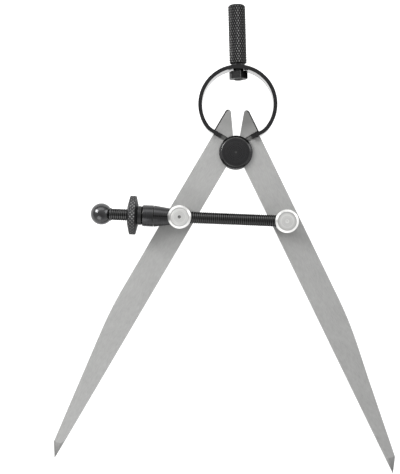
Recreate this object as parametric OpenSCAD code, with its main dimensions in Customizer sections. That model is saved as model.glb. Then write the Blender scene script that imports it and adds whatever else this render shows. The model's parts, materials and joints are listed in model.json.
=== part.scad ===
// Spring divider: two flat legs on a fulcrum spool, a bow spring with a turned handle,
// swivel posts, and a fine screw with a quick-release split thumb nut.
// Millimetres. The tool lies on its back: X right, Y towards the handle, Z up.
// The origin is on the fulcrum axis, in the outer face of the rear flange.

/* [Legs] */
// Fulcrum axis to point, along the leg
leg_reach = 150; // [120:1:200]
// Width of the parallel upper part
leg_w = 11.5; // [10:0.5:14]
// Thickness of both legs
leg_t = 5; // [4:0.5:7]
// Angle of each leg from the centre line as drawn
leg_angle = 28.2; // [20:0.1:31]
// Space left between the inner edges of the closed legs
closed_gap = 1; // [0.6:0.1:2]
// Distance below the fulcrum where the outer edge starts to taper
taper_start = 83.4; // [70:0.1:100]
// Radius that eases the outer edge into its taper
taper_blend_r = 160; // [80:5:240]
// Angle between the lower inner edge and the relieved edge above the fulcrum
top_relief = 35.6; // [35:0.1:40]
// Rounding of the upper end
top_r = 1.25; // [0.6:0.05:2]
// Extra width of the leg above the spring slot
slot_lip = 0.55; // [0:0.05:1]

/* [Points] */
// Length of the outer bevel of the point
bevel_len = 6.4; // [4:0.1:9]
// Leg width where the bevel starts
bevel_w = 3.75; // [3:0.05:5]
// Length of the ground facets on the front and back
facet_len = 7.3; // [5:0.1:10]
// Turn of the four side facets about the axis of the point
side_turn = 25; // [15:1:40]
// Distance of the side facets from that axis where the front facet ends
side_facet = 2.68; // [2.6:0.01:2.8]
// Thickness left at the point
point_flat = 0.2; // [0.1:0.05:0.5]

/* [Fulcrum] */
// Diameter of both flanges
flange_d = 14; // [12:0.5:15]
// Thickness of each flange
flange_t = 2; // [1.5:0.1:3]
// Chamfer round the outer rim of each flange
flange_chamfer = 1; // [0.4:0.1:1.2]
// Diameter of the core that the legs turn on
core_d = 8; // [6:0.5:9]
// Diameter of the spigot that carries the rear flange
spigot_d = 5; // [3:0.5:5.5]
// Diameter of the turning centre in the front flange
centre_d = 0.8; // [0.4:0.1:1.5]

/* [Bow spring] */
// Outer diameter of the bow
bow_d = 33; // [31:0.5:36]
// Thickness of the spring strip
strip_t = 1.6; // [1.2:0.1:2]
// Middle radius of the bend that turns each end into its leg
bend_r = 8; // [6:0.5:9]
// Angle of that bend
bend_turn = 25.9; // [22:0.1:32]
// Height of the leg slots above the fulcrum axis
slot_rise = 2.7; // [2.5:0.1:3]
// Depth of the full-width strip in the leg
strip_seat = 3.35; // [2.5:0.05:3.8]
// Length of the narrow tongue past the full-width strip
tongue_len = 2.4; // [1.5:0.1:2.6]
// Depth of the tongue's faces below the leg faces
tongue_inset = 0.3; // [0.2:0.05:0.8]

/* [Handle] */
// Diameter over the grip
grip_d = 7.15; // [6:0.05:9]
// Length of the grip
grip_len = 25; // [18:0.5:32]
// Chamfer at both ends of the grip
grip_chamfer = 0.6; // [0.3:0.1:1]
// Diameter of the shoulder that sits on the bow
shoulder_d = 5.5; // [5:0.1:6]
// Length of the shoulder
shoulder_len = 0.7; // [0.4:0.1:1.5]
// Diameter of the stud through the bow
stud_d = 4; // [3:0.5:4.5]
// Lean of the handle to the left
handle_lean = 3.9; // [0:0.1:5]
// Sideways place of the stud hole on the crown of the bow
handle_shift = -0.4; // [-1:0.1:0]
// Handle nut, across flats
nut_af = 7; // [6.5:0.5:8]
// Height of the handle nut
nut_h = 3.2; // [2.4:0.1:4]
// Turn of the nut from standing square to the legs
nut_turn = 12; // [0:1:30]
// Length of the stud's coned end below the nut
stud_end = 0.45; // [0.3:0.05:1]

/* [Posts] */
// Distance of both posts below the fulcrum axis, along the leg
post_down = 35.15; // [30:0.05:45]
// Head diameter
post_d = 9.6; // [9.5:0.1:11]
// Head height above the leg face
post_h = 9.5; // [9.5:0.1:11]
// Chamfer round the head
post_chamfer = 0.85; // [0.4:0.05:1]
// Shank diameter in the leg
shank_d = 6; // [5:0.1:7]
// Diameter of the turning centre in the head
dimple_d = 0.9; // [0.4:0.1:1.5]
// Washer diameter behind the leg
washer_d = 9.4; // [8.5:0.1:11]
// Washer thickness
washer_t = 0.6; // [0.4:0.1:0.7]
// Diameter of the peened tail
tail_d = 7.4; // [7.2:0.1:8]
// Height of the peened tail
tail_h = 0.4; // [0.3:0.05:0.5]

/* [Adjusting screw] */
// Screw diameter over the thread
screw_d = 4.75; // [4.5:0.05:5]
// Depth of the screw past the axis of the right post
screw_grip = 3.2; // [2:0.1:3.8]
// Left post axis to ball centre as drawn
ball_out = 32.6; // [32:0.1:40]
// Ball diameter
ball_d = 9; // [8:0.1:10]
// Diameter of the ball's collar
ball_collar_d = 5.6; // [5.4:0.1:6.5]
// Ball centre to the end of its collar
ball_collar_len = 4.2; // [4:0.1:5]

/* [Thumb nut] */
// Diameter over the rim
wheel_d = 16.2; // [14:0.1:20]
// Width of the rim
rim_w = 2.4; // [1.5:0.1:3]
// Width of the wheel at its hub
hub_w = 4.4; // [3.2:0.1:4.8]
// Hub diameter where the coned faces end
hub_d = 8.4; // [8:0.1:9.5]
// Neck diameter
neck_d = 7.8; // [7:0.05:8]
// Neck length
neck_len = 1.4; // [1:0.1:2]
// Thickness of the two driving tongues
drive_t = 1; // [0.8:0.05:1.4]
// Length of the two driving tongues
drive_len = 2.9; // [2:0.1:3.5]

/* [Split jaws] */
// Wall of the sleeve round the jaw tails
sleeve_wall = 0.8; // [0.7:0.05:1]
// Length of the sleeve
sleeve_len = 4.8; // [4:0.1:5]
// Chamfer at the outer end of the sleeve
sleeve_chamfer = 0.5; // [0.2:0.1:0.7]
// Length of the tapered jaws
jaw_len = 7.7; // [7:0.1:8.5]
// Wall of the jaws at the nose
nose_wall = 0.905; // [0.8:0.005:1]
// Post axis to the nose of the jaws
nose_out = 3; // [2.8:0.1:3.3]
// Wall of the jaw tails in the sleeve
jaw_tail_wall = 0.775; // [0.7:0.005:0.85]
// Saw cut between the two jaws
split_gap = 0.4; // [0.3:0.05:0.6]
// Radial travel of each jaw when the nut is drawn out of its seat
jaw_open = 0.4; // [0.2:0.05:0.45]
// Wire diameter of the ring that opens the jaws
ring_wire = 0.44; // [0.3:0.02:0.46]
// Place of the ring behind the nose
ring_place = 3.5; // [3:0.1:4.5]

/* [Clearances] */
// Axial play between sliding flat faces
face_play = 0.1; // [0.05:0.05:0.2]
// Radial clearance of turning shafts
turn_clear = 0.05; // [0.02:0.01:0.1]
// Radial clearance of parts that are pressed or screwed together
joined_clear = 0.02; // [0.01:0.01:0.04]
// Radial clearance of the screw in the left post
slide_clear = 0.1; // [0.05:0.01:0.15]
// Clearance on each side of the spring strip in its slot
slot_clear = 0.1; // [0.05:0.01:0.2]
// Radial clearance of the stud in the bow
stud_clear = 0.2; // [0.15:0.01:0.3]
// Gap at each end of the sleeve
sleeve_gap = 0.2; // [0.15:0.05:0.4]

/* [Hidden] */
$fn = 96;
cut = 1;

inner_x = closed_gap / 2;
outer_x = inner_x + leg_w;
lip_x = outer_x + slot_lip;

leg_back_z = flange_t + face_play;
leg_front_z = leg_back_z + leg_t;
stack_h = leg_front_z + face_play + flange_t;
mid_z = stack_h / 2;

post_side = inner_x + leg_w / 2;
post_x = post_side * cos(leg_angle) + post_down * sin(leg_angle);
post_y = post_side * sin(leg_angle) - post_down * cos(leg_angle);
post_z = leg_front_z + face_play;
washer_z = leg_back_z - face_play / 2 - washer_t;
screw_z = post_z + post_h / 2;
screw_bore_d = screw_d + 2 * joined_clear;

bow_r = (bow_d - strip_t) / 2;
bend_drop = (bow_r - bend_r) * cos(bend_turn);
bend_side = (bow_r - bend_r) * sin(bend_turn);
bow_rise = (slot_rise + bend_r + bend_drop) / cos(leg_angle);
bow_side = bow_rise * sin(leg_angle);
bow_start = bend_turn + leg_angle - 90;
strip_in = outer_x - strip_seat;
tongue_in = strip_in - tongue_len;
bend_middle = (bow_side + bend_side) * dir(leg_angle) + (slot_rise + bend_r) * dir(leg_angle + 90);
bend_steps = 14;
bow_steps = 126;

crown_y = sqrt(pow(bow_r, 2) - pow(handle_shift, 2));
crown_out = crown_y * cos(handle_lean) - handle_shift * sin(handle_lean);
crown_side = crown_y * sin(handle_lean) + handle_shift * cos(handle_lean);
shoulder_at = bow_d / 2 - crown_out;
nut_d = nut_af / cos(30);
nut_edge = nut_d / 2 * cos(30 - nut_turn) + abs(crown_side);
nut_at = sqrt(pow(bow_d / 2 - strip_t, 2) - pow(nut_edge, 2)) - crown_out - face_play;

jaw_back = nose_out + jaw_len;
sleeve_at = jaw_back + sleeve_gap;
neck_at = sleeve_at + sleeve_len + sleeve_gap;
hub_at = neck_at + neck_len;
wheel_bore_d = screw_d + 4 * slide_clear;
jaw_bore_d = screw_d + 2 * turn_clear;
nose_d = jaw_bore_d + 2 * nose_wall;
jaw_tail_d = jaw_bore_d + 2 * jaw_tail_wall;
tail_len = sleeve_gap + sleeve_len - 2 * face_play;
sleeve_bore_d = jaw_tail_d + 2 * jaw_open + 2 * turn_clear;
sleeve_d = sleeve_bore_d + 2 * sleeve_wall;
jaw_slope = (sleeve_d - nose_d) / jaw_len;
seat_depth = nose_out - 2 * face_play;
ring_r = jaw_bore_d / 2 + turn_clear + ring_wire / 2;
groove_r = ring_r + ring_wire / 2 + turn_clear;
ring_at = nose_out + ring_place;
ring_gap = 30;

// Unit vector at an angle.
function dir(a) = [cos(a), sin(a)];

// Waste outside a rounding of radius r at corner p, between edges along angles a and b.
module corner_waste(p, a, b, r) {
    half = (b - a) / 2;
    mid = (a + b) / 2;
    reach = r / tan(half);
    middle = p + r / sin(half) * dir(mid);
    difference() {
        polygon([p - cut * dir(mid), p + reach * dir(a), middle, p + reach * dir(b)]);
        translate(middle) circle(r = r, $fn = 360);
    }
}

// Outline of a leg that hangs straight down on the right of the centre line.
module leg_outline() {
    tip = [inner_x, -leg_reach];
    bevel = [inner_x + bevel_w, bevel_len - leg_reach];
    kink = [outer_x, -taper_start];
    top = [lip_x, (lip_x * cos(top_relief) - inner_x) / sin(top_relief)];
    waist = [inner_x, inner_x * (cos(top_relief) - 1) / sin(top_relief)];
    taper = atan2(kink.x - bevel.x, kink.y - bevel.y);
    difference() {
        polygon([tip, bevel, kink, [outer_x, slot_rise], [lip_x, slot_rise], top, waist]);
        corner_waste(kink, 90, 270 - taper, taper_blend_r);
        corner_waste(top, 270 - top_relief, 270, top_r);
    }
}

// Wedge that grinds one facet of the point, turned about the axis of the point.
module point_waste(turn, facet_at) {
    bisector = atan2(bevel_w, bevel_len) / 2;
    reach = 2 * facet_len;
    rise = (facet_at - point_flat / 2) / facet_len;
    top = point_flat / 2 + reach * rise;
    translate([inner_x, -leg_reach, leg_t / 2])
        rotate([0, 0, -bisector]) rotate([0, turn, 0]) rotate([90, 0, 90])
            linear_extrude(height = 4 * bevel_w, center = true)
                polygon([[-cut, point_flat / 2 - cut * rise], [reach, top], [-cut, top]]);
}

module leg() {
    slot_w = strip_t + 2 * slot_clear;
    rotate([0, 0, leg_angle]) translate([0, 0, leg_back_z]) difference() {
        linear_extrude(height = leg_t) leg_outline();
        translate([0, 0, -cut]) cylinder(h = leg_t + 2 * cut, d = core_d + 2 * turn_clear);
        translate([post_side, -post_down, -cut])
            cylinder(h = leg_t + 2 * cut, d = shank_d + 2 * turn_clear);
        translate([tongue_in - slot_clear, slot_rise - slot_w / 2, -cut])
            cube([lip_x, slot_w, leg_t + 2 * cut]);
        for (turn = [0, 180]) point_waste(turn, leg_t / 2);
        for (turn = [side_turn, 180 - side_turn, 180 + side_turn, 360 - side_turn])
            point_waste(turn, side_facet);
    }
}

module left_leg() {
    color("silver") mirror([1, 0, 0]) leg();
}

module right_leg() {
    color("silver") leg();
}

module fulcrum_stud() {
    core_top = stack_h - flange_t;
    color("dimgray") rotate_extrude() polygon([
        [0, 0],
        [spigot_d / 2, 0],
        [spigot_d / 2, flange_t],
        [core_d / 2, flange_t],
        [core_d / 2, core_top],
        [flange_d / 2, core_top],
        [flange_d / 2, stack_h - flange_chamfer],
        [flange_d / 2 - flange_chamfer, stack_h],
        [centre_d / 2, stack_h],
        [0, stack_h - centre_d / 2]]);
}

module fulcrum_rear_flange() {
    hole_r = spigot_d / 2 + joined_clear;
    color("dimgray") rotate_extrude() polygon([
        [hole_r, 0],
        [flange_d / 2 - flange_chamfer, 0],
        [flange_d / 2, flange_chamfer],
        [flange_d / 2, flange_t],
        [hole_r, flange_t]]);
}

// Stations along one side of the strip, mirrored to the other side and taken backwards.
function mirrored(s) = [for (i = [len(s) - 1:-1:0]) [[-s[i][0].x, s[i][0].y], 180 - s[i][1]]];

// Stations of the strip's middle line, each with the angle of its outward normal.
function right_end() = concat(
    [[tongue_in * dir(leg_angle) + slot_rise * dir(leg_angle + 90), leg_angle - 90]],
    [for (i = [0:bend_steps]) let (a = leg_angle - 90 + bend_turn * i / bend_steps)
        [bend_middle + bend_r * dir(a), a]]);
function crown() = [for (i = [1:bow_steps - 1])
    let (a = bow_start + (180 - 2 * bow_start) * i / bow_steps)
        [[0, bow_rise] + bow_r * dir(a), a]];
function stations() = concat(right_end(), crown(), mirrored(right_end()));

// Outline of the strip seen from the front.
module strip_outline() {
    outside = [for (s = stations()) s[0] + strip_t / 2 * dir(s[1])];
    inside = [for (s = stations()) s[0] - strip_t / 2 * dir(s[1])];
    polygon(concat(outside, [for (i = [len(inside) - 1:-1:0]) inside[i]]));
}

// Corners taken off one end of the strip to leave its tongue.
module tongue_waste() {
    tongue_w = leg_t - 2 * tongue_inset;
    rotate([0, 0, leg_angle])
        for (z = [mid_z + tongue_w / 2, mid_z - tongue_w / 2 - stack_h])
            translate([tongue_in - cut, slot_rise - strip_t, z])
                cube([tongue_len + cut, 2 * strip_t, stack_h]);
}

// Places a child on the handle's axis: its Z runs outwards from the middle of the strip.
module on_handle() {
    translate([handle_shift, bow_rise + crown_y, mid_z])
        rotate([0, 0, handle_lean]) rotate([-90, 0, 0]) children();
}

module bow_spring() {
    color("dimgray") difference() {
        linear_extrude(height = stack_h) strip_outline();
        tongue_waste();
        mirror([1, 0, 0]) tongue_waste();
        on_handle() cylinder(h = 4 * strip_t, d = stud_d + 2 * stud_clear, center = true);
    }
}

module handle() {
    stud_out = nut_at - nut_h;
    grip_at = shoulder_at + shoulder_len;
    grip_top = grip_at + grip_len;
    color("dimgray") on_handle() rotate_extrude() polygon([
        [0, stud_out - stud_end],
        [stud_d / 2 - stud_end, stud_out - stud_end],
        [stud_d / 2, stud_out],
        [stud_d / 2, shoulder_at],
        [shoulder_d / 2, shoulder_at],
        [shoulder_d / 2, grip_at],
        [grip_d / 2 - grip_chamfer, grip_at],
        [grip_d / 2, grip_at + grip_chamfer],
        [grip_d / 2, grip_top - grip_chamfer],
        [grip_d / 2 - grip_chamfer, grip_top],
        [0, grip_top]]);
}

module handle_nut() {
    color("dimgray") on_handle() translate([0, 0, nut_at - nut_h]) difference() {
        rotate([0, 0, 30 + nut_turn]) cylinder(h = nut_h, d = nut_d, $fn = 6);
        translate([0, 0, -cut]) cylinder(h = nut_h + 2 * cut, d = stud_d + 2 * joined_clear);
    }
}

// Places a child on the screw's axis at the left post: its Z runs left, towards the ball.
module on_screw() {
    translate([-post_x, post_y, screw_z]) rotate([0, -90, 0]) children();
}

// Turned post with its shank and peened tail, above the origin.
module post() {
    head_top = post_z + post_h;
    rotate_extrude() polygon([
        [0, washer_z - tail_h],
        [tail_d / 2 - tail_h, washer_z - tail_h],
        [tail_d / 2, washer_z],
        [shank_d / 2, washer_z],
        [shank_d / 2, post_z],
        [post_d / 2, post_z],
        [post_d / 2, head_top - post_chamfer],
        [post_d / 2 - post_chamfer, head_top],
        [dimple_d / 2, head_top],
        [0, head_top - dimple_d / 2]]);
}

module post_washer() {
    translate([0, 0, washer_z]) difference() {
        cylinder(h = washer_t, d = washer_d);
        translate([0, 0, -cut]) cylinder(h = washer_t + 2 * cut, d = shank_d + 2 * joined_clear);
    }
}

module left_post() {
    seat_len = post_d - seat_depth;
    seat_d = nose_d + 2 * turn_clear - (nose_out - seat_depth) * jaw_slope;
    color("gainsboro") difference() {
        translate([-post_x, post_y, 0]) post();
        on_screw() cylinder(h = 2 * post_d, d = screw_d + 2 * slide_clear, center = true);
        on_screw() translate([0, 0, seat_depth])
            cylinder(h = seat_len, d1 = seat_d, d2 = seat_d + seat_len * jaw_slope);
    }
}

module left_post_washer() {
    color("gainsboro") translate([-post_x, post_y, 0]) post_washer();
}

module right_post() {
    color("gainsboro") difference() {
        translate([post_x, post_y, 0]) post();
        translate([post_x + screw_grip + face_play, post_y, screw_z]) rotate([0, -90, 0])
            cylinder(h = 2 * post_d, d = screw_bore_d);
    }
}

module right_post_washer() {
    color("gainsboro") translate([post_x, post_y, 0]) post_washer();
}

module adjusting_screw() {
    color("dimgray") on_screw() translate([0, 0, -2 * post_x - screw_grip])
        cylinder(h = 2 * post_x + screw_grip + ball_out, d = screw_d);
}

module ball_end() {
    color("dimgray") on_screw() translate([0, 0, ball_out]) difference() {
        union() {
            sphere(d = ball_d);
            translate([0, 0, -ball_collar_len]) cylinder(h = ball_collar_len, d = ball_collar_d);
        }
        translate([0, 0, -ball_d]) cylinder(h = ball_d + face_play, d = screw_bore_d);
    }
}

// Tongues on the neck that enter the saw cut between the jaw tails and turn the jaws.
module drive_tongues() {
    tongue_h = drive_len + neck_len / 2;
    translate([0, 0, neck_at - drive_len]) difference() {
        intersection() {
            cylinder(h = tongue_h, d = jaw_tail_d - 2 * turn_clear);
            translate([-sleeve_d / 2, -drive_t / 2, 0]) cube([sleeve_d, drive_t, tongue_h]);
        }
        translate([0, 0, -cut]) cylinder(h = tongue_h + 2 * cut, d = wheel_bore_d + 2 * turn_clear);
    }
}

module thumb_nut() {
    cone_h = (hub_w - rim_w) / 2;
    color("dimgray") on_screw() {
        rotate_extrude() polygon([
            [wheel_bore_d / 2, neck_at],
            [neck_d / 2, neck_at],
            [neck_d / 2, hub_at],
            [hub_d / 2, hub_at],
            [wheel_d / 2, hub_at + cone_h],
            [wheel_d / 2, hub_at + cone_h + rim_w],
            [hub_d / 2, hub_at + hub_w],
            [wheel_bore_d / 2, hub_at + hub_w]]);
        drive_tongues();
    }
}

module jaw_sleeve() {
    color("dimgray") on_screw() translate([0, 0, sleeve_at]) rotate_extrude() polygon([
        [sleeve_bore_d / 2, 0],
        [sleeve_d / 2, 0],
        [sleeve_d / 2, sleeve_len - sleeve_chamfer],
        [sleeve_d / 2 - sleeve_chamfer, sleeve_len],
        [sleeve_bore_d / 2, sleeve_len]]);
}

// Half of the split nut, on the handle's side of the saw cut.
module jaw() {
    drive_slot = drive_t + 2 * turn_clear;
    drive_from = neck_at - drive_len - face_play;
    difference() {
        rotate_extrude() polygon([
            [jaw_bore_d / 2, nose_out],
            [nose_d / 2, nose_out],
            [sleeve_d / 2, jaw_back],
            [jaw_tail_d / 2, jaw_back],
            [jaw_tail_d / 2, jaw_back + tail_len],
            [jaw_bore_d / 2, jaw_back + tail_len],
            [jaw_bore_d / 2, ring_at + ring_wire],
            [groove_r, ring_at + ring_wire],
            [groove_r, ring_at - ring_wire],
            [jaw_bore_d / 2, ring_at - ring_wire]]);
        translate([-sleeve_d, split_gap / 2 - 2 * sleeve_d, 0])
            cube([2 * sleeve_d, 2 * sleeve_d, 2 * neck_at]);
        translate([-sleeve_d, -drive_slot / 2, drive_from])
            cube([2 * sleeve_d, drive_slot, neck_at]);
    }
}

module upper_jaw() {
    color("dimgray") on_screw() jaw();
}

module lower_jaw() {
    color("dimgray") on_screw() mirror([0, 1, 0]) jaw();
}

module jaw_ring() {
    color("gray") on_screw() translate([0, 0, ring_at]) rotate([0, 0, ring_gap / 2])
        rotate_extrude(angle = 360 - ring_gap)
            translate([ring_r, 0]) circle(d = ring_wire, $fn = 24);
}

left_leg();
right_leg();
fulcrum_stud();
fulcrum_rear_flange();
bow_spring();
handle();
handle_nut();
left_post();
left_post_washer();
right_post();
right_post_washer();
adjusting_screw();
ball_end();
thumb_nut();
jaw_sleeve();
upper_jaw();
lower_jaw();
jaw_ring();
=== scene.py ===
"""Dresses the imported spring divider: ground legs, black turned parts, knurls, threads, stage."""

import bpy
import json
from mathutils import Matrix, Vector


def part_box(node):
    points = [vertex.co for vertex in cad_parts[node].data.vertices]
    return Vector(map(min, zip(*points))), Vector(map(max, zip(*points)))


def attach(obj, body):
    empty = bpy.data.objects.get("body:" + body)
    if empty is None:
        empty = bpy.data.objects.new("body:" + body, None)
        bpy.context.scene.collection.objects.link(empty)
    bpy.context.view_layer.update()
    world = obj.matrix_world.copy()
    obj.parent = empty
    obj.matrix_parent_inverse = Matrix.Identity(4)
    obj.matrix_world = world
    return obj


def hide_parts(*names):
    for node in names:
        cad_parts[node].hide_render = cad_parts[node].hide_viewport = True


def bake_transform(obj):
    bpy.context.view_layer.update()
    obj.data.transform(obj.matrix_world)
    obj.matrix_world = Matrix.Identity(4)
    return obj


bl_info = {
    "name": "Spring Divider",
    "version": (1, 0, 0),
    "blender": (4, 5, 0),
    "location": "3D View > Sidebar > Divider",
    "description": "Builds the finished pieces of a spring divider round its packed frame",
    "category": "Add Mesh",
}

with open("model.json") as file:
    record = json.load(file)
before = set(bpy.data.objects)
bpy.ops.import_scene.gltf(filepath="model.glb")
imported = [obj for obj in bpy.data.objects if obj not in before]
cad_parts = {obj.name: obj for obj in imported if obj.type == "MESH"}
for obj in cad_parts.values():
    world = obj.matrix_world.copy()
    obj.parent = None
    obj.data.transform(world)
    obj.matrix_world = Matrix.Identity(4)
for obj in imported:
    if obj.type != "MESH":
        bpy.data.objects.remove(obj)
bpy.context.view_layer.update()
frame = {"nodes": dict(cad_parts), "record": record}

import json
import math

import bmesh
import bpy
from bpy.props import FloatProperty, FloatVectorProperty, IntProperty, PointerProperty
from bpy.types import Operator, Panel, PropertyGroup
from mathutils import Matrix, Vector

MM = 0.001

# Places in the frame, in metres
POST = {side: sum(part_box(side + "_post"), Vector()) / 2 for side in ("left", "right")}
SCREW_Z = sum(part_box("adjusting_screw"), Vector()).z / 2
LEG_BACK, LEG_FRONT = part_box("left_leg")[0].z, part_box("left_leg")[1].z
STACK_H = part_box("bow_spring")[1].z
GRIP = next(m for m in frame["record"]["mounts"] if m["name"] == "handle_grip")

# From here on, sizes are in millimetres and degrees, and most are shared with the solids
# Outlines of turned pieces are pairs of (radius, place along the axis)

# Legs, with places that run down the leg from the fulcrum
LEG_ANGLE = 28.2
LEG_REACH = 150.0
SLOT_FROM, SLOT_TO = -3.7, -1.7
EDGES_TO = LEG_REACH - 12
# The point's tilted facets take a darker steel as painted shade, darkest at the tip
POINT_FROM = LEG_REACH - 11
POINT_SHADE_TILT = (0.5, 0.985)
# Edges stay sharp this near the fulcrum and the post's hole, or this far off a face
NOTCH_ROOM = 4.3
HOLE_ROOM = 3.4
LEVEL_ROOM = 0.01
# Dark top edges end here, lie this far out for their height, and run this much along the leg
DARK_EDGE_TO = -3.4
TOP_OUT = 0.2
TOP_ALONG = {-1: 0.2, 1: 0.0}

# Reaches of the tones at a leg's ends, (from, to) up the leg from the fulcrum: a darker grey by the
# spring, and painted shade towards the point
SPRING_END_REACH = (1, 9)
POINT_SHADE_REACH = (9 - LEG_REACH, 2 - LEG_REACH)
POINT_SHADE_SHARE = 0.5

# Fulcrum, with places that count from the front for the stud's front
STUD_BACK = [(0, 0), (2.5, 0), (2.5, 2.0), (4.0, 2.0)]
STUD_FRONT = [(4.0, -2.0), (7.0, -2.0), (7.0, -1.0), (6.0, 0), (0.35, 0), (0, -0.1)]
REAR_FLANGE = [(2.52, 0), (6.0, 0), (7.0, 1.0), (7.0, 2.0), (2.52, 2.0)]

# Bow spring
BOW_R = 15.7
STRIP_T = 1.6
STRIP_EDGE = 0.04
BEND_R = 8.0
BEND_TURN = 25.9
SLOT_RISE = 2.7
STRIP_IN = 8.65
TONGUE_IN = 6.25
TONGUE_INSET = 0.3
TONGUE_THIN = 0.04
BOW_STEPS = 96
BEND_STEPS = 16

# Handle, with places from the middle of the strip
GRIP_MIDDLE = 14.014
STUD_HOLE_R = 2.2
STUD_DRILL = 4.0
HANDLE_STUD = [(0, -5.235), (1.55, -5.235), (2.0, -4.785), (2.0, 0.814), (2.75, 0.814)]
GRIP_FOOT = [(2.75, 1.514), (2.975, 1.514), (3.35, 1.9)]
GRIP_CAP = [(3.42, 25.85), (2.9, 26.4), (2.1, 26.514), (0, 26.514)]
GRIP_R = 3.66
KNURL_FROM, KNURL_TO = 2.2, 25.5
KNURL_LEAD = 28.0
NUT_EDGE = 0.12

# Posts, with places above the back, and depths under the front for the groove and the centre
POST_SIDE = [(0, 1.05), (3.3, 1.05), (3.7, 1.45), (3.0, 1.45), (3.0, 7.2), (4.8, 7.2), (4.8, 15.85)]
POST_TOP = 16.7
POST_FACE_R = (3.95, 3.5, 3.3, 3.1)
GROOVE_DEEP = {"left": 0.05, "right": 0.02}
POST_CENTRE = {"left": [(0.7, 0), (0.42, 0.1), (0, 0.15)],
               "right": [(0.5, 0), (0.3, 0.05), (0, 0.07)]}
WASHER_EDGE = 0.08

# Screw and the bores round it, along the screw from the left post
SCREW_R = 2.4
FIT_R = 2.395
SLIDE_R = 2.475
SEAT_R = 3.351
SEAT_AT = 2.8
SEAT_SLOPE = 0.14545
BLIND_END = 3.3
BORE_REACH = 8.0
THREAD_ROUND = 32
# Shares of the pitch at which the crest begins and ends, and the root begins and ends
THREAD_SHARES = (0.0, 0.52, 0.64, 0.88)

# Ball, with its bore and collar
BALL_R = 4.5
BALL_AT = 32.6
BALL_FROM = 139.0
BALL_STEPS = 40
BALL_ROUND = 80
BALL_BORE = [(0, 32.7), (FIT_R, 32.7), (FIT_R, 28.4)]
COLLAR = [(2.55, 28.4), (2.6, 28.55), (2.8, 28.6), (2.8, 29.05), (2.5, 29.1), (2.5, 29.2)]
COLLAR_EDGE = 0.05

# Thumb nut
NECK = [(2.575, 21.7), (2.575, 15.9), (3.9, 15.9), (3.9, 17.3), (4.2, 17.3), (7.85, 18.23)]
RIM_R = 8.1
RIM_FROM, RIM_TO = 18.36, 20.64
RIM_ROWS = 3
RIM_KNURL = 0.7
WHEEL_FACE = [(7.85, 20.77), (4.2, 21.7), (2.575, 21.7)]
DRIVE_TUBE = [(2.625, 13.0), (3.15, 13.0), (3.15, 16.6), (2.625, 16.6)]
DRIVE_HALF = 0.5

# Sleeve and jaws
SLEEVE = [(3.65, 10.9), (4.45, 10.9), (4.45, 15.2), (3.95, 15.7), (3.65, 15.7)]
JAW_OUTSIDE = [(2.425, 3.0), (3.33, 3.0), (4.45, 10.7), (3.2, 10.7), (3.2, 15.5), (2.425, 15.5)]
RING_GROOVE = [(2.425, 6.94), (2.965, 6.94), (2.965, 6.06), (2.425, 6.06)]
SAW_HALF = 0.2
DRIVE_SLOT_HALF = 0.55
DRIVE_SLOT_FROM = 12.9
NUT_CLEAR = 9.0
NUT_END = 18.0

# Meshes: sides of a round piece, angles of smooth shading, and what counts as an edge
ROUND = 96
SMOOTH = 30.0
KNURL_SMOOTH = 25.0
FACET_SMOOTH = 8.0
STRAIGHT = 165.0
EASE_SHARE = 0.45
FLAT = 0.5
CORNER = 25.0
WELD = 0.0001
SLIVER = 0.005

# Depth of the marks that a tool leaves
MARK_DEPTH = 0.02

# Floor, with the places where the tool rests on it, and its glow on both sides of the tool
FLOOR_HALF = 6000.0
LEG_REST = -125.5
FLANGE_REST = -6.0
FLOOR_GAP = 0.02
GLOW_HALF = 20.0
TOWARD_TUBE = (-0.5, 0.87, 0)

# Grey of the sky by height, and the softboxes as (place, width, height), in metres
SKY_BELT = {0.0: 0.95, 0.5: 1.0, 0.85: 0.62, 1.0: 0.45}
SOFTBOXES = {
    "left": ((-0.60, 0.31, 0.44), 0.30, 0.38),
    "low": ((-0.16, -0.30, 0.28), 0.25, 0.25),
    "rear": ((-0.12, 0.55, 0.40), 0.90, 0.35),
    "right": ((0.66, 0.32, 0.30), 0.36, 0.60),
}
SOFTBOX_AIM = Vector((0, -0.03, 0))

# Camera, in millimetres, degrees and pixels
CAMERA_AT = Vector((-2.3, -32.98, 467.0))
CAMERA_TURN = (-0.317, 1.414, 2.31)
SENSOR_HIGH = 24.0
FOCUS_PIXELS = 1098.4
PICTURE_HIGH = 474


# Colour, nodes and materials

def linear(code):
    """Linear RGBA of an sRGB hex colour."""
    parts = [int(code[i:i + 2], 16) / 255 for i in (0, 2, 4)]
    return [c / 12.92 if c <= 0.04045 else ((c + 0.055) / 1.055) ** 2.4 for c in parts] + [1.0]


def add(tree, kind, inputs=None, **settings):
    """Adds one node with its settings, its values and its links."""
    made = tree.nodes.new(kind)
    for key, value in settings.items():
        setattr(made, key, value)
    for key, value in (inputs or {}).items():
        if isinstance(value, bpy.types.NodeSocket):
            tree.links.new(value, made.inputs[key])
        else:
            made.inputs[key].default_value = value
    return made


def shaded(name):
    """A new material with one principled shader, as (material, tree, shader)."""
    material = bpy.data.materials.new(name)
    material.use_nodes = True
    tree = material.node_tree
    tree.nodes.clear()
    shader = add(tree, "ShaderNodeBsdfPrincipled")
    add(tree, "ShaderNodeOutputMaterial", {"Surface": shader.outputs["BSDF"]})
    return material, tree, shader


def toned(tree, marks, clouds, dark, light, share):
    """Colour between two tones: the marks that a tool left, over soft clouds of grey."""
    both = add(tree, "ShaderNodeMix", {
        "Factor": share, "A": clouds, "B": marks}, data_type="FLOAT").outputs[0]
    tone = add(tree, "ShaderNodeValToRGB", {"Fac": both})
    for element, place, colour in zip(tone.color_ramp.elements, (0.3, 0.7), (dark, light)):
        element.position = place
        element.color = colour
    return tone.outputs[0]


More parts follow.
